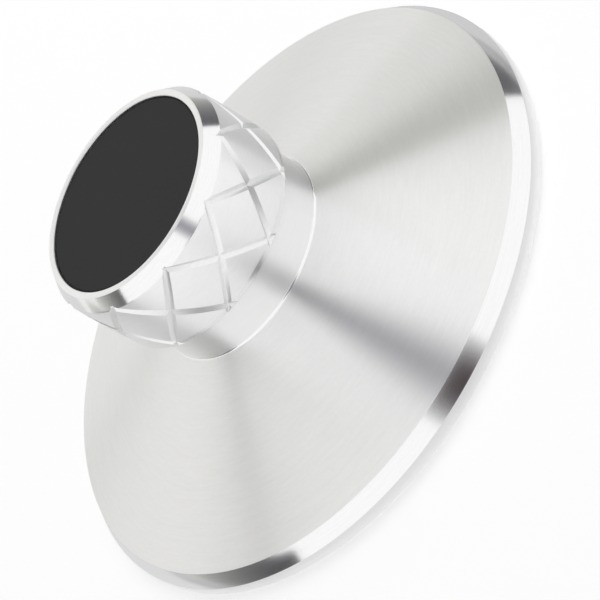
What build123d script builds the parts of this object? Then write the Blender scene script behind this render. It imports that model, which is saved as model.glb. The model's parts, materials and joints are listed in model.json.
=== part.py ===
from build123d import *
import math
import os

os.makedirs("parts", exist_ok=True)

# Record weight for a turntable: a flared aluminium disc that sits over the spindle on a record's
# label, with a collar, an overhanging diamond-cut grip and a bevelled cap with a black inlay.
# Millimetres, +Z up. The origin is on the spindle axis, in the plane that the weight rests on.

# Flared disc
disc_diameter = 90.0
rim_side_height = 1.9
rim_bevel_width = 1.4
rim_bevel_height = 2.2
rim_edge_break = 0.25
flare_height = 9.8

# Grip: its sides swell by the barrel, and it overhangs the collar all round. Its lower edge is
# rounded over, up to a narrow flat beside the collar
grip_diameter = 34.5
grip_height = 12.7
grip_barrel = 0.1
grip_overhang = 1.7
grip_underside_flat = 0.4

# Collar
collar_height = 6.4
collar_foot_radius = 0.4

# Diamond-cut grooves: two hands of V-shaped helices that cross at the edge of the cap's bevel,
# at mid-height and where the lower edge starts to round
groove_pairs = 10
groove_width = 1.2
groove_depth = 0.5
groove_rise_per_step = 11.6
groove_crossing_above_grip = 0.3

# Cap: a bevel and a narrow flat lip round the inlay
cap_bevel_width = 1.4
cap_bevel_height = 2.0
cap_lip_width = 0.95

# Black inlay in the cap
inlay_thickness = 1.2
inlay_gap = 0.1
inlay_sunk = 0.2
inlay_edge_break = 0.2

# Ring-shaped pad let into the underside, between a land of bare metal and the spindle hole
base_land_width = 5.85
pad_inner_margin = 2.7
pad_thickness = 1.5
pad_proud = 0.5
pad_gap = 0.15

# Blind hole for the spindle
spindle_diameter = 7.2
spindle_clearance = 0.1
spindle_hole_depth = 20.0
spindle_lead_in = 0.6
drill_point_angle = 118.0

# Heights, from the plane that the weight rests on
body_bottom = pad_proud
pad_seat = pad_thickness
rim_top = body_bottom + rim_side_height
flare_bottom = rim_top + rim_bevel_height
collar_bottom = flare_bottom + flare_height
grip_bottom = collar_bottom + collar_height
grip_top = grip_bottom + grip_height
cap_top = grip_top + cap_bevel_height
inlay_top = cap_top - inlay_sunk
inlay_seat = inlay_top - inlay_thickness
spindle_hole_top = pad_seat + spindle_hole_depth

# Radii
disc_radius = disc_diameter / 2
flare_radius = disc_radius - rim_bevel_width
grip_radius = grip_diameter / 2
grip_end_radius = grip_radius - grip_barrel
collar_radius = grip_end_radius - grip_overhang
grip_lower_edge_radius = grip_overhang - grip_underside_flat
cap_radius = grip_end_radius - cap_bevel_width
inlay_recess_radius = cap_radius - cap_lip_width
inlay_radius = inlay_recess_radius - inlay_gap
spindle_hole_radius = spindle_diameter / 2 + spindle_clearance
spindle_mouth_radius = spindle_hole_radius + spindle_lead_in
pad_recess_radius = disc_radius - base_land_width
pad_outer_radius = pad_recess_radius - pad_gap
pad_inner_radius = spindle_mouth_radius + pad_inner_margin

# Angle from one groove to the next of the same hand
groove_step = 360 / groove_pairs


def turned_blank():
    """Outside of the body: half its section, revolved, with its seam clear of the crossings."""
    collar_foot = (collar_radius, collar_bottom)
    grip_lower_edge = (grip_end_radius, grip_bottom)
    grip_upper_edge = (grip_end_radius, grip_top)
    with BuildPart() as blank:
        with BuildSketch(Plane.XZ) as section:
            with BuildLine():
                Polyline(
                    (0, cap_top),
                    (0, body_bottom),
                    (disc_radius - rim_edge_break, body_bottom),
                    (disc_radius, body_bottom + rim_edge_break),
                    (disc_radius, rim_top),
                    (flare_radius, flare_bottom),
                    collar_foot,
                    (collar_radius, grip_bottom),
                    grip_lower_edge,
                )
                ThreePointArc(
                    grip_lower_edge,
                    (grip_radius, (grip_bottom + grip_top) / 2),
                    grip_upper_edge,
                )
                Polyline(grip_upper_edge, (cap_radius, cap_top), (0, cap_top))
            make_face()
            fillet(section.vertices().sort_by_distance(collar_foot)[0], collar_foot_radius)
            fillet(section.vertices().sort_by_distance(grip_lower_edge)[0], grip_lower_edge_radius)
        revolve(axis=Axis.Z)
    return Rot(0, 0, groove_step / 4) * blank.part


def groove_cutter(hand):
    """One V-shaped helix from the collar to the cap, which crosses its twin at azimuth 0.

    The hand is 1 where the helix climbs anticlockwise, seen from above, and -1 where it climbs
    clockwise.
    """
    lead = groove_rise_per_step * groove_pairs
    path = Helix(
        pitch=lead,
        height=cap_top - grip_bottom,
        radius=grip_radius,
        center=(0, 0, grip_bottom),
        lefthand=hand < 0,
    )
    flank = groove_width / 2 / groove_depth
    mouth = groove_depth
    half_mouth = flank * (groove_depth + mouth)
    with BuildSketch(Plane(origin=path @ 0, x_dir=(1, 0, 0), z_dir=path % 0)) as section:
        with BuildLine():
            Polyline((-groove_depth, 0), (mouth, half_mouth), (mouth, -half_mouth), close=True)
        make_face()
    groove = sweep(section.sketch, path=path, is_frenet=True)
    turn_to_crossing = 360 * (grip_height + groove_crossing_above_grip) / lead
    return Rot(0, 0, -hand * turn_to_crossing) * groove


def grooves(hand):
    """All the grooves of one hand, evenly spaced round the grip."""
    cutter = groove_cutter(hand)
    return [Rot(0, 0, index * groove_step) * cutter for index in range(groove_pairs)]


def spindle_hole():
    """Blind drilled hole with a lead-in at its mouth and the drill's point at its end."""
    point_height = spindle_hole_radius / math.tan(math.radians(drill_point_angle / 2))
    with BuildPart() as hole:
        with BuildSketch(Plane.XZ):
            with BuildLine():
                Polyline(
                    (0, pad_seat),
                    (spindle_mouth_radius, pad_seat),
                    (spindle_hole_radius, pad_seat + spindle_lead_in),
                    (spindle_hole_radius, spindle_hole_top),
                    (0, spindle_hole_top + point_height),
                    close=True,
                )
            make_face()
        revolve(axis=Axis.Z)
    return hole.part


def disc_between(radius, bottom, top):
    """Plain round disc on the spindle axis between two heights."""
    return Pos(0, 0, bottom) * Cylinder(
        radius, top - bottom, align=(Align.CENTER, Align.CENTER, Align.MIN)
    )


def weight_body():
    """Turned body with its grooves, the two shallow recesses and the spindle hole."""
    body = turned_blank() - grooves(1)
    body -= grooves(-1)
    body -= disc_between(inlay_recess_radius, inlay_seat, cap_top)
    body -= disc_between(pad_recess_radius, body_bottom, pad_seat)
    return body - spindle_hole()


def top_inlay():
    """Black disc with its upper edge broken, seated on the floor of the cap's recess."""
    disc = disc_between(inlay_radius, inlay_seat, inlay_top)
    return chamfer(disc.edges().group_by(Axis.Z)[-1], inlay_edge_break)


def base_pad():
    """Flat cut ring, seated in the recess of the underside and standing proud of the metal."""
    ring = disc_between(pad_outer_radius, 0, pad_seat)
    return ring - disc_between(pad_inner_radius, 0, pad_seat)


export_step(weight_body(), "parts/weight_body.step")
export_step(top_inlay(), "parts/top_inlay.step")
export_step(base_pad(), "parts/base_pad.step")
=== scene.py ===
import json
import logging
import math
from collections.abc import Iterator
from dataclasses import dataclass, field
from enum import Enum

import bmesh
import bpy
from mathutils import Matrix, Vector
from mathutils.geometry import delaunay_2d_cdt

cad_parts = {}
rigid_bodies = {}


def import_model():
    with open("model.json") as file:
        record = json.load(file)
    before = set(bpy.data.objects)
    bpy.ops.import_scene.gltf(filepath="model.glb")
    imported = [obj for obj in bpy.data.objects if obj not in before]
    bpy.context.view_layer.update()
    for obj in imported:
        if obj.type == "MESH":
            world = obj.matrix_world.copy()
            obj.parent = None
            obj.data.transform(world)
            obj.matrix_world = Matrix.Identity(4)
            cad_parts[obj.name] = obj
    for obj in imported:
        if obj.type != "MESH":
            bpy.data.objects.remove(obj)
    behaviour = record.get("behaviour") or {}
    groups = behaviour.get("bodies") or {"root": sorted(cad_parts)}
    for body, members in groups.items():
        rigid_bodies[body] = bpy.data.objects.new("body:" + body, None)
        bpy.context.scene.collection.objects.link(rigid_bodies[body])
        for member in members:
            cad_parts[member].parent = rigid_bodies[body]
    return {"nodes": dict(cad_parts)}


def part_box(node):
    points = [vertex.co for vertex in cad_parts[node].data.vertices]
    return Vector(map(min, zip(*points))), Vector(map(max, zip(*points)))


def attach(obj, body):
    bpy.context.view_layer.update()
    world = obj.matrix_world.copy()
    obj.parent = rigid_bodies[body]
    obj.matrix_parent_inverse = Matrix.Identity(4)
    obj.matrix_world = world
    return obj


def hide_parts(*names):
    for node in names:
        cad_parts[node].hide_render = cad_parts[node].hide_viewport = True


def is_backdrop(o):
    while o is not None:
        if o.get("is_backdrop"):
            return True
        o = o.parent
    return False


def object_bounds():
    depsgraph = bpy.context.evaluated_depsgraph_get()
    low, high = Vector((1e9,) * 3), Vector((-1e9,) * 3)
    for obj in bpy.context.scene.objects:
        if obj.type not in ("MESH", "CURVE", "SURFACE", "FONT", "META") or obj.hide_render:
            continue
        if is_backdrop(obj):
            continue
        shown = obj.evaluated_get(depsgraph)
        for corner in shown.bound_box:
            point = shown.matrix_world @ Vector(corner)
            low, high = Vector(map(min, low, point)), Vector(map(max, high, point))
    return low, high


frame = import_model()
cad_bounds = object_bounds()

# Looks of the record weight: a turned aluminium body with a diamond-cut grip, a black inlay in its
# cap and a black pad underneath. The weight's sizes are in millimetres, and are turned into metres
# where they leave its classes. The studio's are in metres. Azimuths are in degrees about +Z, from +X.
MM = 0.001

# The turned body has a column of faces for every degree. In its mesh, points that are nearer than
# WELD_MM are joined, and edges shorter than SLIVER_MM are dissolved.
FULL_TURN = 360
WELD_MM = 0.002
SLIVER_MM = 0.0002
log = logging.getLogger("record_weight")


class Surface(Enum):
    """Finishes that the turned body shows, with the number of their material slot."""

    BRUSHED = 0
    TURNED = 1
    POLISHED = 2
    BRIGHT_CUT = 3
    PLAIN = 4
    SATIN = 5


class Fade(Enum):
    """How a card's tone runs across it: from one edge to the other, or from its middle outwards."""

    ONE_WAY = 1
    FROM_MIDDLE = 2


class NodeBoard:
    """The node tree of a material or of the world, with short calls to add nodes and join them."""

    def __init__(self, owner: bpy.types.Material | bpy.types.World) -> None:
        """Empties the owner's node tree.

        Args:
            owner: the material or the world that the tree belongs to.
        """
        owner.use_nodes = True
        self.owner = owner
        self.tree = owner.node_tree
        self.tree.nodes.clear()

    def add(self, kind: str, inputs: dict | None = None, **settings: object) -> bpy.types.Node:
        """Adds a node, sets it up and joins its inputs.

        Args:
            kind: the node's Blender type.
            inputs: socket name or number to a value, or to the output socket that feeds it.
            **settings: the node's own properties.

        Returns:
            The new node.
        """
        node = self.tree.nodes.new(kind)
        for name, value in settings.items():
            setattr(node, name, value)
        for socket, value in (inputs or {}).items():
            self.feed(node.inputs[socket], value)
        return node

    def feed(self, socket: bpy.types.NodeSocket, value: object) -> None:
        """Gives an input its value.

        Args:
            socket: the input.
            value: a plain value, or the output socket that feeds the input.
        """
        if isinstance(value, bpy.types.NodeSocket):
            self.tree.links.new(value, socket)
        else:
            socket.default_value = value

    def maths(self, operation: str, *values: object) -> bpy.types.NodeSocket:
        """Adds a Math node and returns its output."""
        return self.add("ShaderNodeMath", dict(enumerate(values)), operation=operation).outputs[0]

    def ramp(self, value: bpy.types.NodeSocket, low: float, high: float) -> bpy.types.NodeSocket:
        """Spreads a value from 0..1 over low..high.

        Args:
            value: the socket to spread.
            low: result at 0.
            high: result at 1.

        Returns:
            The socket with the result.
        """
        inputs = {"Value": value, "To Min": low, "To Max": high}
        return self.add("ShaderNodeMapRange", inputs).outputs["Result"]

    def mix(self, share: object, first: object, second: object) -> bpy.types.NodeSocket:
        """Mixes two colours.

        Args:
            share: how much of the second colour there is, from 0 to 1, or the socket that says so.
            first: the colour at 0, or its socket.
            second: the colour at 1, or its socket.

        Returns:
            The socket with the mixed colour.
        """
        node = self.add("ShaderNodeMix", {"Factor": share}, data_type="RGBA")
        first_colour, second_colour, mixed = node.inputs[6], node.inputs[7], node.outputs[2]
        for socket, colour in ((first_colour, first), (second_colour, second)):
            self.feed(socket, (*colour, 1.0) if isinstance(colour, tuple) else colour)
        return mixed

    def seen(self) -> bpy.types.NodeSocket:
        """Tells rays that show a thing, straight or mirrored, from those that only carry its light.

        Returns:
            The socket that is 1 for rays from the camera, from a mirror or through glass, else 0.
        """
        path = self.add("ShaderNodeLightPath").outputs
        bent = self.maths("MAXIMUM", path["Is Glossy Ray"], path["Is Transmission Ray"])
        return self.maths("MAXIMUM", path["Is Camera Ray"], bent)

    def finish(self, shader: bpy.types.NodeSocket) -> bpy.types.Material | bpy.types.World:
        """Joins the shader to the tree's output.

        Args:
            shader: the shader's socket.

        Returns:
            The finished material or world.
        """
        kind = "World" if isinstance(self.owner, bpy.types.World) else "Material"
        self.add(f"ShaderNodeOutput{kind}", {"Surface": shader})
        return self.owner


@dataclass(frozen=True)
class TurnedMetal:
    """Aluminium with the circular lines that a lathe or an abrasive leaves round the spindle.

    Attributes:
        name: the material's name.
        colour: colour of the bare metal, linear.
        roughness: mean roughness along the lines.
        anisotropy: how far the lines stretch a highlight across them.
        lines_per_mm: how densely the lines lie.
        line_depth: depth of the lines' relief, in mm.
        blotch: share by which roughness drifts from place to place.
        drift_scale: patches of that drift in a metre.
        coarseness: how many times as wide the coarse lines are.
        fine_changes: how often a fine line's strength changes in a turn, about.
        coarse_changes: the same for a coarse line.
        scratch_changes: the same for the short scratches between the lines.
        coarse_share: part of the coarse lines in the lines' relief.
        scratch_share: part of the scratches in the colour's pattern.
        crest_tone: brightness of the lines' crests against the colour.
        furrow_tone: brightness of the furrows between them.
    """

    name: str
    colour: tuple[float, float, float]
    roughness: float
    anisotropy: float
    lines_per_mm: float
    line_depth: float
    blotch: float
    drift_scale: float = 55.0
    coarseness: float = 6.0
    fine_changes: float = 7.0
    coarse_changes: float = 3.0
    scratch_changes: float = 60.0
    coarse_share: float = 0.35
    scratch_share: float = 0.4
    crest_tone: float = 1.06
    furrow_tone: float = 0.92

    def build(self) -> bpy.types.Material:
        """Builds the material from the part's own coordinates, so that no seam shows.

        Returns:
            The finished material.
        """
        board = NodeBoard(bpy.data.materials.new(self.name))
        around, along = self._ring_coordinates(board)
        coarse_per_mm = self.lines_per_mm / self.coarseness
        fine = self._lines(board, around, along, self.lines_per_mm, self.fine_changes)
        coarse = self._lines(board, around, along, coarse_per_mm, self.coarse_changes)
        scratches = self._lines(board, around, along, self.lines_per_mm, self.scratch_changes)
        relief = board.mix(0.5, board.mix(self.coarse_share, fine, coarse), scratches)
        bump = board.add("ShaderNodeBump", {
            "Strength": 1.0,
            "Distance": self.line_depth * MM,
            "Height": relief,
        })
        place = board.add("ShaderNodeTexCoord").outputs["Object"]
        drift = board.add("ShaderNodeTexNoise", {
            "Vector": place,
            "Scale": self.drift_scale,
            "Detail": 3.0,
        })
        low = self.roughness * (1 - self.blotch)
        high = self.roughness * (1 + self.blotch)
        roughness = board.ramp(board.mix(0.5, drift.outputs["Fac"], coarse), low, high)
        crest = toned(self.colour, self.crest_tone)
        furrow = toned(self.colour, self.furrow_tone)
        colour = board.mix(board.mix(self.scratch_share, fine, scratches), furrow, crest)

        # A quarter turn from the tangent, which runs round the axis, lies across the lines
        tangent = board.add("ShaderNodeTangent", direction_type="RADIAL", axis="Z")
        metal = board.add("ShaderNodeBsdfPrincipled", {
            "Base Color": colour,
            "Metallic": 1.0,
            "Roughness": roughness,
            "Anisotropic": self.anisotropy,
            "Anisotropic Rotation": 0.25,
            "Normal": bump.outputs["Normal"],
            "Tangent": tangent.outputs["Tangent"],
        })
        return board.finish(metal.outputs["BSDF"])

    def _ring_coordinates(self, board: NodeBoard) -> tuple[bpy.types.NodeSocket, bpy.types.NodeSocket]:
        """Works out a point's direction from the spindle and its place along the section.

        Args:
            board: the tree to add to.

        Returns:
            The unit vector away from the axis, and radius less height in metres.
        """
        place = board.add("ShaderNodeTexCoord").outputs["Object"]
        flat = board.add("ShaderNodeVectorMath", {0: place, 1: (1.0, 1.0, 0.0)}, operation="MULTIPLY")
        away = board.add("ShaderNodeVectorMath", {0: flat.outputs[0]}, operation="NORMALIZE")
        radius = board.add("ShaderNodeVectorMath", {0: flat.outputs[0]}, operation="LENGTH")
        height = board.add("ShaderNodeSeparateXYZ", {0: place}).outputs["Z"]
        along = board.maths("SUBTRACT", radius.outputs["Value"], height)
        return away.outputs[0], along

    def _lines(
        self,
        board: NodeBoard,
        around: bpy.types.NodeSocket,
        along: bpy.types.NodeSocket,
        per_mm: float,
        changes: float,
    ) -> bpy.types.NodeSocket:
        """Makes noise drawn out round the spindle.

        Args:
            board: the tree to add to.
            around: the unit vector away from the axis.
            along: place along the section, in metres.
            per_mm: lines per millimetre.
            changes: how often a line's strength changes in a turn, about.

        Returns:
            The noise, from 0 to 1.
        """
        turn = board.add("ShaderNodeVectorMath", {0: around, "Scale": changes}, operation="SCALE")
        parts = board.add("ShaderNodeSeparateXYZ", {0: turn.outputs[0]})
        across = board.maths("MULTIPLY", along, per_mm / MM)
        place = board.add("ShaderNodeCombineXYZ", {
            "X": parts.outputs["X"],
            "Y": parts.outputs["Y"],
            "Z": across,
        })
        inputs = {"Vector": place.outputs[0], "Scale": 1.0, "Detail": 2.0, "Roughness": 0.6}
        return board.add("ShaderNodeTexNoise", inputs).outputs["Fac"]


@dataclass(frozen=True)
class BlackRubber:
    """Matt black rubber with a fine grain and a little dust in it.

    Attributes:
        name: the material's name.
        colour: colour of the rubber, linear.
        roughness: mean roughness.
        grain_mm: size of the grain.
        grain_depth: depth of the grain's relief, in mm.
        roughness_drift: how far the roughness strays from its mean.
        gloss: level of its mirror reflection.
        dust_tone: brightness of the dusty grains against the colour.
        pit_tone: brightness of the pits between them.
        cloud_scale: patches of stronger speckle in a metre.
        cloud_share: share of speckle in the strongest of those patches.
        speckle_share: share of the speckle that lies evenly over everything.
    """

    name: str
    colour: tuple[float, float, float]
    roughness: float
    grain_mm: float
    grain_depth: float
    roughness_drift: float = 0.1
    gloss: float = 0.3
    dust_tone: float = 1.5
    pit_tone: float = 0.75
    cloud_scale: float = 160.0
    cloud_share: float = 0.4
    speckle_share: float = 0.6

    def build(self) -> bpy.types.Material:
        """Builds the material.

        Returns:
            The finished material.
        """
        board = NodeBoard(bpy.data.materials.new(self.name))
        place = board.add("ShaderNodeTexCoord").outputs["Object"]
        grain_scale = 1 / (self.grain_mm * MM)
        grain = board.add("ShaderNodeTexVoronoi", {"Vector": place, "Scale": grain_scale})
        fibre = board.add("ShaderNodeTexNoise", {
            "Vector": place,
            "Scale": grain_scale / 2,
            "Detail": 4.0,
        })
        cloud = board.add("ShaderNodeTexNoise", {
            "Vector": place,
            "Scale": self.cloud_scale,
            "Detail": 2.0,
        })
        bump = board.add("ShaderNodeBump", {
            "Strength": 1.0,
            "Distance": self.grain_depth * MM,
            "Height": board.mix(0.5, grain.outputs["Distance"], fibre.outputs["Fac"]),
        })
        pit = toned(self.colour, self.pit_tone)
        dust = toned(self.colour, self.dust_tone)
        speckle = board.mix(fibre.outputs["Fac"], pit, dust)
        cloudiness = board.ramp(cloud.outputs["Fac"], 0.0, self.cloud_share)
        clouded = board.mix(cloudiness, self.colour, speckle)
        low = self.roughness - self.roughness_drift
        high = self.roughness + self.roughness_drift
        rubber = board.add("ShaderNodeBsdfPrincipled", {
            "Base Color": board.mix(self.speckle_share, clouded, speckle),
            "Roughness": board.ramp(fibre.outputs["Fac"], low, high),
            "Specular IOR Level": self.gloss,
            "Normal": bump.outputs["Normal"],
        })
        return board.finish(rubber.outputs["BSDF"])


@dataclass(frozen=True)
class Corner:
    """A corner of a turned section, in mm.

    Attributes:
        radius: distance from the spindle axis.
        height: height over the plane that the weight rests on.
        surface: finish of the stretch that leads away from the corner.
        rounding: radius that the corner is rounded to, 0 where it stays sharp.
        swell: how far the middle of the stretch that leads away bulges out.
        edge: finish of the rounding itself, where it differs from the stretch's.
    """

    radius: float
    height: float
    surface: Surface
    rounding: float = 0.0
    swell: float = 0.0
    edge: Surface | None = None


@dataclass(frozen=True)
class Ring:
    """A ring of the turned surface, in mm, with the finish between it and the next one."""

    radius: float
    height: float
    surface: Surface


@dataclass
class MeshParts:
    """Points in mm, and faces with their finish, as they are gathered for one mesh."""

    points: list[tuple[float, float, float]] = field(default_factory=list)
    faces: list[tuple[int, ...]] = field(default_factory=list)
    surfaces: list[Surface] = field(default_factory=list)

    def add_point(self, radius: float, azimuth: float, height: float) -> int:
        """Adds a point.

        Args:
            radius: its distance from the spindle axis, in mm.
            azimuth: its azimuth, in degrees.
            height: its height, in mm.

        Returns:
            The point's number.
        """
        turn = math.radians(azimuth)
        self.points.append((radius * math.cos(turn), radius * math.sin(turn), height))
        return len(self.points) - 1

    def add_face(self, corners: tuple[int, ...], surface: Surface) -> None:
        """Adds a face by the numbers of its points."""
        self.faces.append(corners)
        self.surfaces.append(surface)

    def build(self, name: str, sharp_degrees: float) -> bpy.types.Object:
        """Welds the parts into one closed mesh and shades it smooth between its sharp edges.

        Args:
            name: the object's name.
            sharp_degrees: an edge that turns by more than this stays sharp.

        Returns:
            The new object, in metres.
        """
        work = bmesh.new()
        verts = [work.verts.new(Vector(point) * MM) for point in self.points]
        for corners, surface in zip(self.faces, self.surfaces):
            face = work.faces.new([verts[number] for number in corners])
            face.material_index = surface.value
            face.smooth = True
        bmesh.ops.remove_doubles(work, verts=work.verts, dist=WELD_MM * MM)
        bmesh.ops.dissolve_degenerate(work, edges=work.edges, dist=SLIVER_MM * MM)
        for edge in work.edges:
            edge.smooth = edge.calc_face_angle(math.pi) < math.radians(sharp_degrees)
        loose = sum(1 for edge in work.edges if not edge.is_manifold)
        triangles = sum(len(face.verts) - 2 for face in work.faces)
        log.info("%s: %d triangles, %d open edges", name, triangles, loose)
        return new_object(name, work)


@dataclass(frozen=True)
class DiamondCut:
    """V-shaped grooves in two hands of helices round the grip, in mm.

    Attributes:
        radius: radius of the grip at its fullest.
        crossing: height of the topmost crossings.
        pairs: grooves of each hand.
        width: width of a groove at full depth.
        depth: depth of a groove below the fullest radius.
        rise: climb of a groove from one to the next of the same hand.
        crossing_rows: how many rows of crossings the grip has.
    """

    radius: float
    crossing: float
    pairs: int = 10
    width: float = 1.2
    depth: float = 0.5
    rise: float = 11.6
    crossing_rows: int = 3

    @property
    def step(self) -> float:
        """Azimuth from one groove to the next of the same hand."""
        return FULL_TURN / self.pairs

    @property
    def crossings(self) -> list[float]:
        """Heights of the rows of crossings, from the topmost down."""
        return [self.crossing - self.rise * row / 2 for row in range(self.crossing_rows)]

    @property
    def floor(self) -> float:
        """Radius of the bottom of the grooves."""
        return self.radius - self.depth

    @property
    def lean(self) -> float:
        """Distance across a groove for each mm along the ring that it crosses."""
        pitch = math.radians(self.step) * self.radius
        return self.rise / math.hypot(self.rise, pitch)

    def azimuth(self, hand: int, index: int, height: float) -> float:
        """Azimuth of a groove's bottom at a height, in degrees."""
        return self.step * (index + hand * (height - self.crossing) / self.rise)

    def half_width(self, skin: float) -> float:
        """Half of a groove's width, as azimuth, where the uncut surface has the radius skin."""
        across = max(0.0, skin - self.floor) * self.width / 2 / self.depth
        return math.degrees(across / self.lean / self.radius)

    def cut_radius(self, azimuth: float, height: float) -> float:
        """Radius of the grooves' flanks at a point, as if they ran on outside the grip.

        Args:
            azimuth: the point's azimuth in degrees.
            height: its height in mm.

        Returns:
            The radius of the lower of the two hands' flanks.
        """
        nearest = min(
            abs((azimuth - self.azimuth(hand, 0, height) + self.step / 2) % self.step - self.step / 2)
            for hand in (1, -1)
        )
        across = math.radians(nearest) * self.radius * self.lean
        return self.floor + across * self.depth / (self.width / 2)


@dataclass
class WeightBody:
    """The turned body: flared disc, collar, diamond-cut grip, cap and underside, sizes in mm.

    Attributes:
        bottom: height of the metal's underside.
        top: height of the cap.
        disc_radius: radius of the flared disc.
        inlay_radius: radius of the inlay that the cap's recess takes.
        inlay_seat: height of that recess's floor.
        pad_radius: radius of the pad that the underside's recess takes.
        pad_seat: height of that recess's ceiling.
    """

    bottom: float
    top: float
    disc_radius: float
    inlay_radius: float
    inlay_seat: float
    pad_radius: float
    pad_seat: float

    # Rim and collar
    rim_side_height: float = 1.9
    rim_bevel_width: float = 1.4
    rim_bevel_height: float = 2.2
    collar_height: float = 6.4
    collar_foot_radius: float = 0.4

    # Grip, whose sides swell by the barrel, and cap. The grip overhangs the collar, and its lower
    # edge is rounded up to a narrow flat beside it
    grip_radius: float = 17.25
    grip_height: float = 12.7
    grip_barrel: float = 0.1
    grip_overhang: float = 1.7
    grip_underside_flat: float = 0.4
    crossing_above_grip: float = 0.3
    cap_bevel_width: float = 1.4
    cap_bevel_height: float = 2.0

    # Spindle hole
    hole_radius: float = 3.7
    hole_depth: float = 20.0
    hole_lead_in: float = 0.6
    drill_point_height: float = 2.2

    # Air round the inlay and the pad, and the small radius of every turned edge
    inlay_gap: float = 0.1
    pad_gap: float = 0.15
    edge_break: float = 0.12

    # Mesh: distances between rings, degrees between the rings of a rounded corner, and degrees
    # from which an edge stays sharp
    ring_spacing: float = 2.5
    grip_spacing: float = 0.6
    arc_step: float = 12.0
    sharp_degrees: float = 17.0

    @property
    def grip_top(self) -> float:
        """Height where the grip's side meets the cap's bevel."""
        return self.top - self.cap_bevel_height

    @property
    def grip_bottom(self) -> float:
        """Height of the grip's underside."""
        return self.grip_top - self.grip_height

    @property
    def cut(self) -> DiamondCut:
        """The grooves of the grip."""
        return DiamondCut(self.grip_radius, self.grip_top + self.crossing_above_grip)

    def corners(self) -> list[Corner]:
        """Section of the body, from the drill's point down, out, up and in to the inlay's seat.

        Returns:
            The section's corners in order.
        """
        collar_bottom = self.grip_bottom - self.collar_height
        rim_top = self.bottom + self.rim_side_height
        grip_end = self.grip_radius - self.grip_barrel
        collar_radius = grip_end - self.grip_overhang
        hole_top = self.pad_seat + self.hole_depth
        recess = self.pad_radius + self.pad_gap
        cap_recess = self.inlay_radius + self.inlay_gap
        soft = self.edge_break
        return [
            Corner(0, hole_top + self.drill_point_height, Surface.PLAIN),
            Corner(self.hole_radius, hole_top, Surface.PLAIN),
            Corner(self.hole_radius, self.pad_seat + self.hole_lead_in, Surface.PLAIN),
            Corner(self.hole_radius + self.hole_lead_in, self.pad_seat, Surface.PLAIN),
            Corner(recess, self.pad_seat, Surface.PLAIN, soft),
            Corner(recess, self.bottom, Surface.TURNED, soft),
            Corner(self.disc_radius, self.bottom, Surface.SATIN, 2 * soft),
            Corner(self.disc_radius, rim_top, Surface.POLISHED, soft),
            Corner(
                self.disc_radius - self.rim_bevel_width,
                rim_top + self.rim_bevel_height,
                Surface.BRUSHED,
                soft,
            ),
            Corner(
                collar_radius,
                collar_bottom,
                Surface.SATIN,
                self.collar_foot_radius,
                edge=Surface.POLISHED,
            ),
            Corner(collar_radius, self.grip_bottom, Surface.TURNED, soft),
            Corner(
                grip_end,
                self.grip_bottom,
                Surface.TURNED,
                self.grip_overhang - self.grip_underside_flat,
                self.grip_barrel,
                edge=Surface.POLISHED,
            ),
            Corner(grip_end, self.grip_top, Surface.POLISHED, soft),
            Corner(grip_end - self.cap_bevel_width, self.top, Surface.TURNED, soft),
            Corner(cap_recess, self.top, Surface.PLAIN, soft),
            Corner(cap_recess, self.inlay_seat, Surface.PLAIN),
            Corner(0, self.inlay_seat, Surface.PLAIN),
        ]

    def rings(self) -> list[Ring]:
        """Turns the section's corners into rings, with rounded corners and even spacing.

        Returns:
            The rings in the section's order.
        """
        corners = self.corners()
        bends = [self._bend(corners, number) for number in range(len(corners))]
        rings = []
        for number, corner in enumerate(corners):
            bend = bends[number]
            edge = corner.edge or corner.surface
            rings += [Ring(radius, height, edge) for radius, height in bend[:-1]]
            rings.append(Ring(*bend[-1], corner.surface))
            if number + 1 < len(corners):
                rings += self._stretch(corner, bend[-1], bends[number + 1][0])
        return rings

    def _bend(self, corners: list[Corner], number: int) -> list[tuple[float, float]]:
        """Rounds one corner of the section.

        Args:
            corners: all the section's corners.
            number: which one to round.

        Returns:
            Radius and height of the points round the corner, or of the corner alone.
        """
        corner = corners[number]
        here = Vector((corner.radius, corner.height))
        if corner.rounding == 0:
            return [tuple(here)]
        back = (Vector((corners[number - 1].radius, corners[number - 1].height)) - here).normalized()
        ahead = (Vector((corners[number + 1].radius, corners[number + 1].height)) - here).normalized()
        half_angle = back.angle(ahead) / 2
        reach = corner.rounding / math.tan(half_angle)
        centre = here + (back + ahead).normalized() * corner.rounding / math.sin(half_angle)
        start = here + back * reach - centre
        turn = math.pi - 2 * half_angle
        sense = 1 if back.y * ahead.x > back.x * ahead.y else -1
        count = max(2, math.ceil(math.degrees(turn) / self.arc_step))
        spots = []
        for index in range(count + 1):
            angle = sense * turn * index / count
            x = start.x * math.cos(angle) - start.y * math.sin(angle)
            y = start.x * math.sin(angle) + start.y * math.cos(angle)
            spots.append((centre.x + x, centre.y + y))
        return spots

    def _stretch(
        self, corner: Corner, start: tuple[float, float], end: tuple[float, float]
    ) -> list[Ring]:
        """Fills the stretch after a corner with evenly spaced rings.

        Args:
            corner: the corner that the stretch leads away from.
            start: radius and height of the stretch's first point, which isn't repeated.
            end: the same for its last point.

        Returns:
            The rings between the two points.
        """
        spacing = self.grip_spacing if corner.swell else self.ring_spacing
        count = math.ceil(math.dist(start, end) / spacing)
        rings = []
        for index in range(1, count):
            share = index / count
            bulge = 4 * corner.swell * share * (1 - share)
            radius = start[0] + (end[0] - start[0]) * share + bulge
            height = start[1] + (end[1] - start[1]) * share
            rings.append(Ring(radius, height, corner.surface))
        return rings

    def build(self) -> bpy.types.Object:
        """Builds the body's mesh: plain rings, and the cut sheet of the grip between two of them.

        Returns:
            The body, which stands for the CAD node.
        """
        rings = self.rings()
        sheet = GripSheet(self.cut, rings, self.grip_bottom)
        parts = MeshParts()

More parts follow.
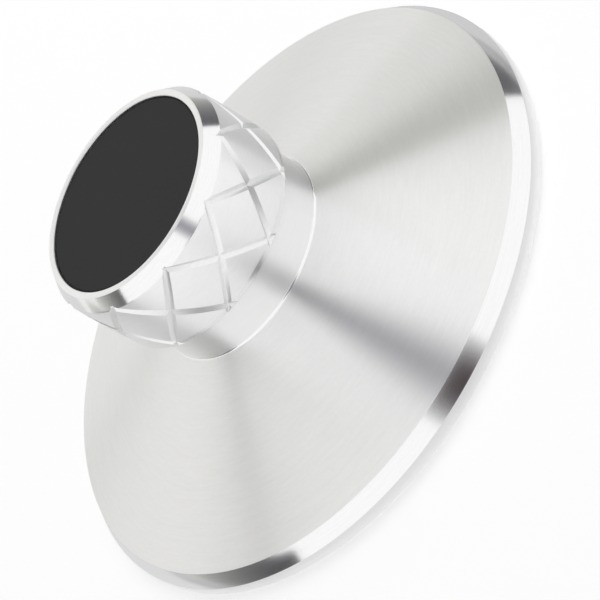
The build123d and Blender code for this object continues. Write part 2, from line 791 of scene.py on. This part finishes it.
        # A ring on the axis is a single point, which stands in every column
        rows = [
            [parts.add_point(ring.radius, column, ring.height) for column in range(FULL_TURN)]
            if ring.radius > 0 else [parts.add_point(0, 0, ring.height)] * FULL_TURN
            for ring in rings
        ]
        for number in range(len(rings) - 1):
            if number in sheet.span:
                continue
            for column in range(FULL_TURN):
                following = (column + 1) % FULL_TURN
                corners = (
                    rows[number][column],
                    rows[number][following],
                    rows[number + 1][following],
                    rows[number + 1][column],
                )
                parts.add_face(tuple(dict.fromkeys(corners)), rings[number].surface)
        sheet.add_to(parts)
        return parts.build("weight_body_turned", self.sharp_degrees)

    def dress(self, piece: bpy.types.Object) -> None:
        """Gives the body its finishes and ties it to the frame.

        Args:
            piece: the body's object.
        """
        finishes = {
            Surface.BRUSHED: TurnedMetal(
                "brushed_flare", colour=(0.93, 0.93, 0.925), roughness=0.32, anisotropy=1.0,
                lines_per_mm=2.2, line_depth=0.003, blotch=0.08,
            ),
            Surface.TURNED: TurnedMetal(
                "fine_turned", colour=(0.97, 0.97, 0.97), roughness=0.34, anisotropy=0.6,
                lines_per_mm=2.5, line_depth=0.0015, blotch=0.1,
            ),
            Surface.POLISHED: TurnedMetal(
                "mirror_bevel", colour=(0.96, 0.96, 0.965), roughness=0.13, anisotropy=0.4,
                lines_per_mm=4.0, line_depth=0.0005, blotch=0.2,
            ),
            Surface.BRIGHT_CUT: TurnedMetal(
                "bright_cut", colour=(0.93, 0.93, 0.935), roughness=0.34, anisotropy=0.0,
                lines_per_mm=2.0, line_depth=0.0003, blotch=0.1,
            ),
            Surface.PLAIN: TurnedMetal(
                "plain_turned", colour=(0.78, 0.78, 0.78), roughness=0.34, anisotropy=0.5,
                lines_per_mm=3.0, line_depth=0.006, blotch=0.2,
            ),
            Surface.SATIN: TurnedMetal(
                "satin_collar", colour=(1.0, 1.0, 0.995), roughness=0.33, anisotropy=0.88,
                lines_per_mm=2.5, line_depth=0.002, blotch=0.08,
            ),
        }
        for surface in Surface:
            piece.data.materials.append(finishes[surface].build())
        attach(piece, "root")
        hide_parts("weight_body")


@dataclass
class GripSheet:
    """The grip's skin between two rings clear of the grooves, cut up along every groove edge.

    Attributes:
        cut: the grooves.
        rings: the body's rings in order.
        grip_bottom: height of the grip's underside, below which no groove runs.
        row_clearance: least height between a plain row and one that the grooves need, in mm.
        column_clearance: least azimuth between a plain point and a groove's line, in degrees.
        snap: distance in mm below which two points of the unrolled sheet are one.
        least_cut: depth in mm from which a face counts as cut.
        neighbours: how many grooves on each side of the first can come near a tile.
        span: numbers of the stretches between rings that the sheet takes the place of.
        skin: the rings from its lower edge to its upper one.
    """

    cut: DiamondCut
    rings: list[Ring]
    grip_bottom: float
    row_clearance: float = 0.12
    column_clearance: float = 0.4
    snap: float = 1e-4
    least_cut: float = 0.001
    neighbours: int = 3
    span: range = field(init=False)
    skin: list[Ring] = field(init=False)

    def __post_init__(self) -> None:
        """Finds the rings that the grooves cross, and takes in one more on each side."""
        touched = [
            number for number, ring in enumerate(self.rings)
            if ring.height >= self.grip_bottom and ring.radius > self.cut.floor
        ]
        first = touched[0] - 1
        last = touched[-1] + 1
        self.span = range(first, last)
        self.skin = self.rings[first:last + 1]

    def skin_at(self, height: float) -> Ring:
        """Uncut radius and finish at a height.

        Args:
            height: height in mm.

        Returns:
            A ring at that height.
        """
        for low, high in zip(self.skin, self.skin[1:]):
            if height <= high.height:
                share = (height - low.height) / (high.height - low.height)
                return Ring(low.radius + (high.radius - low.radius) * share, height, low.surface)
        return self.skin[-1]

    def heights(self) -> list[float]:
        """Works out the rows of the sheet: the skin's rings, the grooves' ends and their crossings.

        Returns:
            The rows' heights, from the lowest up.
        """
        marks = self.cut.crossings + self.groove_ends()
        rows = [ring.height for ring in self.skin]
        kept = [row for row in rows if min(abs(row - mark) for mark in marks) > self.row_clearance]
        return sorted(set(kept) | set(marks) | {rows[0], rows[-1]})

    def groove_ends(self) -> list[float]:
        """Finds where the skin is as narrow as the bottom of the grooves, which end there.

        Returns:
            The heights of the grooves' lower and upper ends.
        """
        floor = self.cut.floor
        ends = []
        for low, high in zip(self.skin, self.skin[1:]):
            if (low.radius < floor) != (high.radius < floor):
                share = (floor - low.radius) / (high.radius - low.radius)
                ends.append(low.height + (high.height - low.height) * share)
        return ends

    def add_to(self, parts: MeshParts) -> None:
        """Adds the sheet, once for each groove of a hand, to the body's parts.

        Args:
            parts: the parts gathered so far.
        """
        cut = self.cut
        mm_per_degree = math.radians(1) * cut.radius

        # The sides of a tile lie midway between two columns of crossings
        start = -cut.step / 4
        spots, edges = self._plan(start)
        flat = [Vector((azimuth * mm_per_degree, height)) for azimuth, height in spots]
        points, _, faces, *_ = delaunay_2d_cdt(flat, edges, [], 0, self.snap)
        tile = []
        for face in faces:
            middle = sum((points[number] for number in face), Vector((0, 0))) / len(face)
            azimuth = middle.x / mm_per_degree
            if not start < azimuth < start + cut.step:
                continue
            skin = self.skin_at(middle.y)
            is_cut = cut.cut_radius(azimuth, middle.y) < skin.radius - self.least_cut
            tile.append((face, Surface.BRIGHT_CUT if is_cut else skin.surface))
        for copy in range(cut.pairs):
            numbers = []
            for point in points:
                azimuth = point.x / mm_per_degree
                radius = min(self.skin_at(point.y).radius, cut.cut_radius(azimuth, point.y))
                numbers.append(parts.add_point(radius, azimuth + copy * cut.step, point.y))
            for face, surface in tile:
                parts.add_face(tuple(numbers[number] for number in face), surface)

    def _plan(self, start: float) -> tuple[list[tuple[float, float]], list[tuple[int, int]]]:
        """Lays out one tile of the unrolled sheet, one groove step wide.

        Args:
            start: azimuth of the tile's first side.

        Returns:
            Points as azimuth and height, and the edges that the mesh has to follow.
        """
        cut = self.cut
        heights = self.heights()
        end = start + cut.step
        spots: list[tuple[float, float]] = []
        edges: list[tuple[int, int]] = []

        def line(points: list[tuple[float, float]]) -> None:
            """Adds a run of points joined by edges.

            Args:
                points: azimuth and height of each.
            """
            first = len(spots)
            spots.extend(points)
            edges.extend((number, number + 1) for number in range(first, len(spots) - 1))

        # The rows, and the columns at the tile's sides and through the crossings
        for height in heights:
            line([(start, height), (end, height)])
        for azimuth in (start, 0.0, cut.step / 2, end):
            line([(azimuth, height) for height in heights])

        # The grooves, from where they come out of the skin to where they run out of it
        low, high = self.groove_ends()
        cut_rows = [height for height in heights if low <= height <= high]
        grooves = list(self._groove_lines(cut_rows, start, end))
        for points in grooves:
            line(points)

        # Plain points, a degree apart, wherever no groove is near
        for height in heights:
            taken = [azimuth for points in grooves for azimuth, row in points if row == height]
            for column in range(1, round(cut.step)):
                azimuth = start + column
                if all(abs(azimuth - spot) > self.column_clearance for spot in taken):
                    spots.append((azimuth, height))
        return spots, edges

    def _groove_lines(
        self, heights: list[float], start: float, end: float
    ) -> Iterator[list[tuple[float, float]]]:
        """Runs along the bottom and both edges of each groove that comes near the tile.

        Args:
            heights: the rows' heights.
            start: azimuth of the tile's first side.
            end: azimuth of its last side.

        Yields:
            Points as azimuth and height, one for each row.
        """
        cut = self.cut
        for hand in (1, -1):
            for index in range(-self.neighbours, self.neighbours + 1):
                for side in (-1, 0, 1):
                    points = []
                    for height in heights:
                        offset = side * cut.half_width(self.skin_at(height).radius)
                        points.append((cut.azimuth(hand, index, height) + offset, height))
                    if any(start < azimuth < end for azimuth, _ in points):
                        yield points


@dataclass
class TopInlay:
    """The black disc in the cap, which keeps its CAD mesh."""

    node: bpy.types.Object

    def dress(self) -> None:
        """Gives the disc its rubber."""
        finish = BlackRubber(
            "inlay_rubber", colour=(0.0195, 0.0195, 0.0205), roughness=0.75,
            grain_mm=0.22, grain_depth=0.02,
        )
        self.node.data.materials.clear()
        self.node.data.materials.append(finish.build())


@dataclass
class BasePad:
    """The black ring under the disc, which keeps its CAD mesh."""

    node: bpy.types.Object

    def dress(self) -> None:
        """Gives the ring its rubber."""
        finish = BlackRubber(
            "pad_rubber", colour=(0.03, 0.03, 0.03), roughness=0.85,
            grain_mm=0.5, grain_depth=0.05,
        )
        self.node.data.materials.clear()
        self.node.data.materials.append(finish.build())


@dataclass
class PhotoCamera:
    """The camera at the photograph's angle. It looks down at the weight and leans far over.

    Attributes:
        azimuth: azimuth that the camera looks from, in degrees.
        elevation: its height over the horizon, in degrees.
        roll: how far the camera is turned about its line of sight, in degrees.
        distance: distance from the middle of the base, in mm.
        right: how far the line of sight passes to the right of that middle, in mm.
        above: how far it passes above it, in mm.
        lens: focal length on a 36 mm sensor, in mm.
    """

    azimuth: float = -86.3
    elevation: float = 33.97
    roll: float = 60.62
    distance: float = 590.85
    right: float = -1.376
    above: float = -0.349
    lens: float = 250.94

    def build(self, base: float) -> bpy.types.Object:
        """Places the camera and makes it the scene's own.

        Args:
            base: height of the metal's underside, in mm.

        Returns:
            The camera.
        """
        back = direction(self.azimuth, self.elevation)
        level = direction(self.azimuth + 90, 0)
        lean = Matrix.Rotation(-math.radians(self.roll), 3, back)
        right = lean @ level
        up = back.cross(right)
        place = Vector((0, 0, base)) + back * self.distance + right * self.right + up * self.above
        lens = bpy.data.cameras.new("photo_camera")
        lens.lens = self.lens
        camera = bpy.data.objects.new("photo_camera", lens)
        bpy.context.scene.collection.objects.link(camera)
        axes = Matrix((right, up, back)).transposed().to_4x4()
        camera.matrix_world = Matrix.Translation(place * MM) @ axes
        bpy.context.scene.camera = camera
        return camera


@dataclass(frozen=True)
class CardTone:
    """Tone of a card that only the metal's reflections see.

    Attributes:
        dark: colour where it is darkest.
        light: colour where it is lightest.
        fade: how the tone runs across the card.
        delay: how late it grows light, 1 for evenly.
    """

    dark: tuple[float, float, float]
    light: tuple[float, float, float]
    fade: Fade = Fade.ONE_WAY
    delay: float = 1.0

    @classmethod
    def even(cls, colour: tuple[float, float, float]) -> "CardTone":
        """The tone of a card that is the same all over."""
        return cls(colour, colour)

    def build(self, name: str) -> bpy.types.Material:
        """Builds the card's glow from its UV map, which runs from 0 to 1 across it.

        Args:
            name: the material's name.

        Returns:
            The finished material.
        """
        board = NodeBoard(bpy.data.materials.new(name))
        place = board.add("ShaderNodeUVMap", uv_map="UVMap").outputs[0]
        share = board.add("ShaderNodeSeparateXYZ", {0: place}).outputs["X"]
        if self.fade is Fade.FROM_MIDDLE:
            share = board.maths("ABSOLUTE", board.maths("MULTIPLY_ADD", share, 2.0, -1.0))
        late = board.maths("POWER", share, self.delay)
        tone = board.mix(late, self.dark, self.light)
        glow = board.add("ShaderNodeEmission", {"Color": tone, "Strength": 1.0})
        return board.finish(glow.outputs[0])

    def lay(self, name: str, grid: list[list[Vector]]) -> bpy.types.Object:
        """Lays a card over a grid of points and hides it from everything but mirror rays.

        Args:
            name: the card's name.
            grid: rows of points in metres, each row running across the card.

        Returns:
            The card.
        """
        work = bmesh.new()
        layer = work.loops.layers.uv.new("UVMap")
        rows = [[work.verts.new(point) for point in row] for row in grid]
        last = len(grid[0]) - 1
        for near, far in zip(rows, rows[1:]):
            for side in range(last):
                face = work.faces.new((near[side], far[side], far[side + 1], near[side + 1]))
                for loop, column in zip(face.loops, (side, side, side + 1, side + 1)):
                    loop[layer].uv = (column / last, 0.0)
        card = stage_object(name, work)
        card.data.materials.append(self.build(name))
        card.visible_camera = False
        card.visible_diffuse = False
        card.visible_shadow = False
        return card


@dataclass(frozen=True)
class DomeCard:
    """A card that bends round the weight like a piece of a dome.

    Directions are azimuth from the camera's and elevation, in degrees.

    Attributes:
        name: the card's name.
        start: direction of one end of the line that it is laid out from.
        end: direction of that line's other end.
        reach: degrees across that line at which the card starts and ends.
        tone: its tone.
        distance: distance from the spindle, in metres.
        divisions: faces along it, and as many across it.
    """

    name: str
    start: tuple[float, float]
    end: tuple[float, float]
    reach: tuple[float, float]
    tone: CardTone
    distance: float = 0.75
    divisions: int = 24

    def build(self, camera_azimuth: float) -> bpy.types.Object:
        """Builds the card.

        Args:
            camera_azimuth: azimuth of the camera, in degrees.

        Returns:
            The card.
        """
        first = direction(camera_azimuth + self.start[0], self.start[1])
        last = direction(camera_azimuth + self.end[0], self.end[1])
        across = last.cross(first).normalized()
        span = first.angle(last)
        turns = [math.radians(turn) for turn in spread(*self.reach, self.divisions)]
        grid = []
        for angle in spread(0, span, self.divisions):
            edge = Matrix.Rotation(-angle, 3, across) @ first
            axis = edge.cross(across)
            grid.append([Matrix.Rotation(turn, 3, axis) @ edge * self.distance for turn in turns])
        return self.tone.lay(self.name, grid)


@dataclass(frozen=True)
class FloorCard:
    """A card that lies just over the floor, as a part of a ring round the weight, and paints the
    floor's shade that the metal mirrors.

    Attributes:
        name: the card's name.
        azimuths: azimuth from the camera's at which it starts and ends, in degrees.
        radii: its inner and outer radius, in metres.
        tone: its tone.
        height: its height over the floor, in metres.
        divisions: faces round it.
    """

    name: str
    azimuths: tuple[float, float]
    radii: tuple[float, float]
    tone: CardTone
    height: float = 0.0002
    divisions: int = 72

    def build(self, camera_azimuth: float) -> bpy.types.Object:
        """Builds the card.

        Args:
            camera_azimuth: azimuth of the camera, in degrees.

        Returns:
            The card.
        """
        lift = Vector((0, 0, self.height))
        turns = spread(*self.azimuths, self.divisions)
        grid = [
            [direction(camera_azimuth + turn, 0) * radius + lift for turn in turns]
            for radius in self.radii
        ]
        return self.tone.lay(self.name, grid)


@dataclass
class Studio:
    """A pale floor, a white surround, a soft lamp and the dark cards that show the metal's form.

    Attributes:
        camera_azimuth: azimuth of the camera, from which lamp and cards are set out, in degrees.
        floor_radius: radius of the floor, in metres.
        floor_sides: sides of the polygon that stands for its circle.
        floor_tone: grey of the floor's paper.
        fleck_scale: flecks in a metre of the paper.
        fleck_tone: brightness of the flecks against the paper.
        floor_lift: glow that makes the floor white where it is seen or mirrored.
        surround: strength of the white world on everything that isn't a mirror.
        lamp_size: side of the square lamp, in metres.
        lamp_distance: its distance, in metres.
        lamp_place: its azimuth from the camera's, and its elevation.
        lamp_power: its power, in watts.
    """

    camera_azimuth: float
    floor_radius: float = 3.0
    floor_sides: int = 128
    floor_tone: float = 0.84
    fleck_scale: float = 30.0
    fleck_tone: float = 1.01
    floor_lift: float = 0.36
    surround: float = 0.55
    lamp_size: float = 1.0
    lamp_distance: float = 1.1
    lamp_place: tuple[float, float] = (120.0, 62.0)
    lamp_power: float = 3.3

    def build(self) -> None:
        """Builds the whole studio."""
        self._light_world()
        self._lay_floor()
        self._hang_lamp()
        for card in self.cards():
            card.build(self.camera_azimuth)

    def cards(self) -> list[DomeCard | FloorCard]:
        """Lists the cards, which stand for what the photograph's metal mirrors.

        Returns:
            The camera's card, and those over the weight, at its sides, behind it and on the floor.
        """
        middle = Fade.FROM_MIDDLE
        white = (1.0, 1.0, 1.0)
        wall = (0.875, 0.87, 0.855)
        lens = CardTone((0.07, 0.055, 0.058), white, middle, 2.8)
        slot = CardTone((0.32, 0.32, 0.35), white, middle, 1.8)
        right_gap = CardTone((0.11, 0.11, 0.12), (0.66, 0.66, 0.62), delay=1.9)
        left_gap = CardTone((0.075, 0.075, 0.08), (0.68, 0.68, 0.64), delay=2.4)
        left_high = CardTone((0.08, 0.08, 0.085), (0.64, 0.64, 0.6), delay=1.4)
        olive = CardTone((0.33, 0.35, 0.29), wall, delay=1.6)
        haze = CardTone((0.6, 0.59, 0.575), wall, middle, 1.3)
        bright = CardTone.even((1.09, 1.09, 1.09))
        plain = CardTone.even(wall)
        pale = CardTone.even((0.74, 0.74, 0.735))
        shade = CardTone((0.74, 0.74, 0.74), (0.28, 0.28, 0.28), middle, 2.5)
        # Painted contact shade on the floor right round the rim, as the metal mirrors it
        contact_shade = CardTone.even((0.7, 0.695, 0.71))
        # Painted floor shade beside the rim, darkest at the card's first end
        side = CardTone((0.56, 0.56, 0.57), (0.74, 0.74, 0.74), delay=0.5)
        return [
            # The camera, and the dark slot that runs from it over the weight
            DomeCard("camera_card", (0, -30), (0, 34), (-15, 15), lens),
            DomeCard("slot_card", (0, 34), (180, 55), (-7, 7), slot, distance=0.15),

            # The gaps in the light at both sides
            DomeCard("right_gap_card", (102, -8), (103, 26), (0, 45), right_gap),
            DomeCard("left_gap_card", (-81, 15.5), (-79, -8), (0, 48), left_gap),
            DomeCard("left_high_card", (-91.5, 30), (-89.5, 15.5), (0, 27), left_high),

            # Bands and walls behind the weight
            DomeCard("right_band_card", (122, 32), (165, 42), (-9.5, 8), olive),
            DomeCard("left_band_card", (-120, 44), (-168, 52), (-7, 7), haze),
            DomeCard("bright_card", (140, 40), (172, 82), (-10, 10), bright, distance=0.85),
            DomeCard("far_wall_card", (180, -10), (180, 50), (-62, 62), plain, distance=0.9),
            DomeCard("left_wall_card", (180, 50), (180, 76), (2, 46), pale, distance=0.9),

            # Painted floor shade round the rim, and farther out, which only the metal's reflections
            # see
            FloorCard("contact_card", (-66, 66), (0.0465, 0.056), contact_shade),
            FloorCard("side_floor_shade_card", (66, 294), (0.0465, 0.072), side),
            FloorCard("far_floor_shade_card", (88, 280), (0.072, 0.88), shade),
        ]

    def _light_world(self) -> None:
        """Lights the scene with a white world, plain white wherever it is seen or mirrored."""
        board = NodeBoard(bpy.data.worlds.new("studio_world"))
        white = (1.0, 1.0, 1.0, 1.0)
        light = board.add("ShaderNodeBackground", {"Color": white, "Strength": self.surround})
        plain = board.add("ShaderNodeBackground", {"Color": white, "Strength": 1.0})
        shader = board.add("ShaderNodeMixShader", {
            0: board.seen(),
            1: light.outputs[0],
            2: plain.outputs[0],
        })
        bpy.context.scene.world = board.finish(shader.outputs[0])

    def _lay_floor(self) -> None:
        """Lays a wide round floor that keeps the weight's shadow and can't be seen from below."""
        work = bmesh.new()
        bmesh.ops.create_circle(
            work, cap_ends=True, segments=self.floor_sides, radius=self.floor_radius
        )
        floor = stage_object("studio_floor", work)
        board = NodeBoard(bpy.data.materials.new("floor_paper"))
        place = board.add("ShaderNodeTexCoord").outputs["Object"]
        fleck = board.add("ShaderNodeTexNoise", {"Vector": place, "Scale": self.fleck_scale})
        tone = (self.floor_tone,) * 3
        colour = board.mix(fleck.outputs["Fac"], tone, toned(tone, self.fleck_tone))
        paper = board.add("ShaderNodeBsdfDiffuse", {"Color": colour})
        lift = board.maths("MULTIPLY", board.seen(), self.floor_lift)
        glow = board.add("ShaderNodeEmission", {"Strength": lift})
        both = board.add("ShaderNodeAddShader", {0: paper.outputs[0], 1: glow.outputs[0]})
        clear = board.add("ShaderNodeBsdfTransparent")
        side = board.add("ShaderNodeNewGeometry").outputs["Backfacing"]
        shader = board.add("ShaderNodeMixShader", {0: side, 1: both.outputs[0], 2: clear.outputs[0]})
        floor.data.materials.append(board.finish(shader.outputs[0]))

    def _hang_lamp(self) -> None:
        """Hangs the large soft lamp over the weight."""
        lamp = bpy.data.lights.new("overhead_lamp", "AREA")
        lamp.size = self.lamp_size
        lamp.energy = self.lamp_power
        azimuth, elevation = self.lamp_place
        place = direction(self.camera_azimuth + azimuth, elevation) * self.lamp_distance
        holder = bpy.data.objects.new("overhead_lamp", lamp)
        holder.location = place
        holder.rotation_euler = place.to_track_quat("Z", "Y").to_euler()
        holder.visible_glossy = False
        bpy.context.scene.collection.objects.link(holder)


def toned(colour: tuple[float, float, float], share: float) -> tuple[float, float, float]:
    """A colour made brighter or darker by a share, up to white."""
    return tuple(min(1.0, share * part) for part in colour)


def spread(first: float, last: float, divisions: int) -> list[float]:
    """Evenly spaced values from the first to the last, both of them included."""
    return [first + (last - first) * step / divisions for step in range(divisions + 1)]


def direction(azimuth: float, elevation: float) -> Vector:
    """Works out the direction in which something is seen from the origin.

    Args:
        azimuth: its azimuth, in degrees.
        elevation: its height over the horizon, in degrees.

    Returns:
        The unit vector that points at it.
    """
    turn = math.radians(azimuth)
    rise = math.radians(elevation)
    return Vector((math.cos(rise) * math.cos(turn), math.cos(rise) * math.sin(turn), math.sin(rise)))


def new_object(name: str, work: bmesh.types.BMesh) -> bpy.types.Object:
    """Turns a bmesh into an object of the scene.

    Args:
        name: the object's name.
        work: its mesh, which is freed.

    Returns:
        The new object.
    """
    mesh = bpy.data.meshes.new(name)
    work.to_mesh(mesh)
    work.free()
    thing = bpy.data.objects.new(name, mesh)
    bpy.context.scene.collection.objects.link(thing)
    return thing


def stage_object(name: str, work: bmesh.types.BMesh) -> bpy.types.Object:
    """Turns a bmesh into an object of the stage, which isn't part of the weight.

    Args:
        name: the object's name.
        work: its mesh, which is freed.

    Returns:
        The new object.
    """
    thing = new_object(name, work)
    thing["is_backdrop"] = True
    return thing


def write_sizes() -> None:
    """Gathers the CAD model's box and the visual model's box, in metres, as plain lists."""
    boxes = {"cad": cad_bounds, "visual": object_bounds()}
    plain = {name: [list(corner) for corner in corners] for name, corners in boxes.items()}


def main() -> None:
    """Builds the pieces in order, dresses them and reports each one."""
    logging.basicConfig(level=logging.INFO, format="%(message)s")
    nodes = frame["nodes"]
    body_low, body_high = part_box("weight_body")
    inlay_low, inlay_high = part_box("top_inlay")
    pad_low, pad_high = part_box("base_pad")

    body = WeightBody(
        bottom=body_low.z / MM,
        top=body_high.z / MM,
        disc_radius=body_high.y / MM,
        inlay_radius=inlay_high.x / MM,
        inlay_seat=inlay_low.z / MM,
        pad_radius=pad_high.x / MM,
        pad_seat=pad_high.z / MM,
    )
    piece = body.build()
    body.dress(piece)
    log.info("body: %d faces", len(piece.data.polygons))

    TopInlay(nodes["top_inlay"]).dress()
    log.info("inlay dressed")
    BasePad(nodes["base_pad"]).dress()
    log.info("pad dressed")

    camera = PhotoCamera()
    camera.build(body.bottom)
    Studio(camera_azimuth=camera.azimuth).build()
    log.info("camera and studio stand")
    bpy.context.scene.view_settings.view_transform = "Standard"
    write_sizes()


if __name__ == "__main__":
    main()
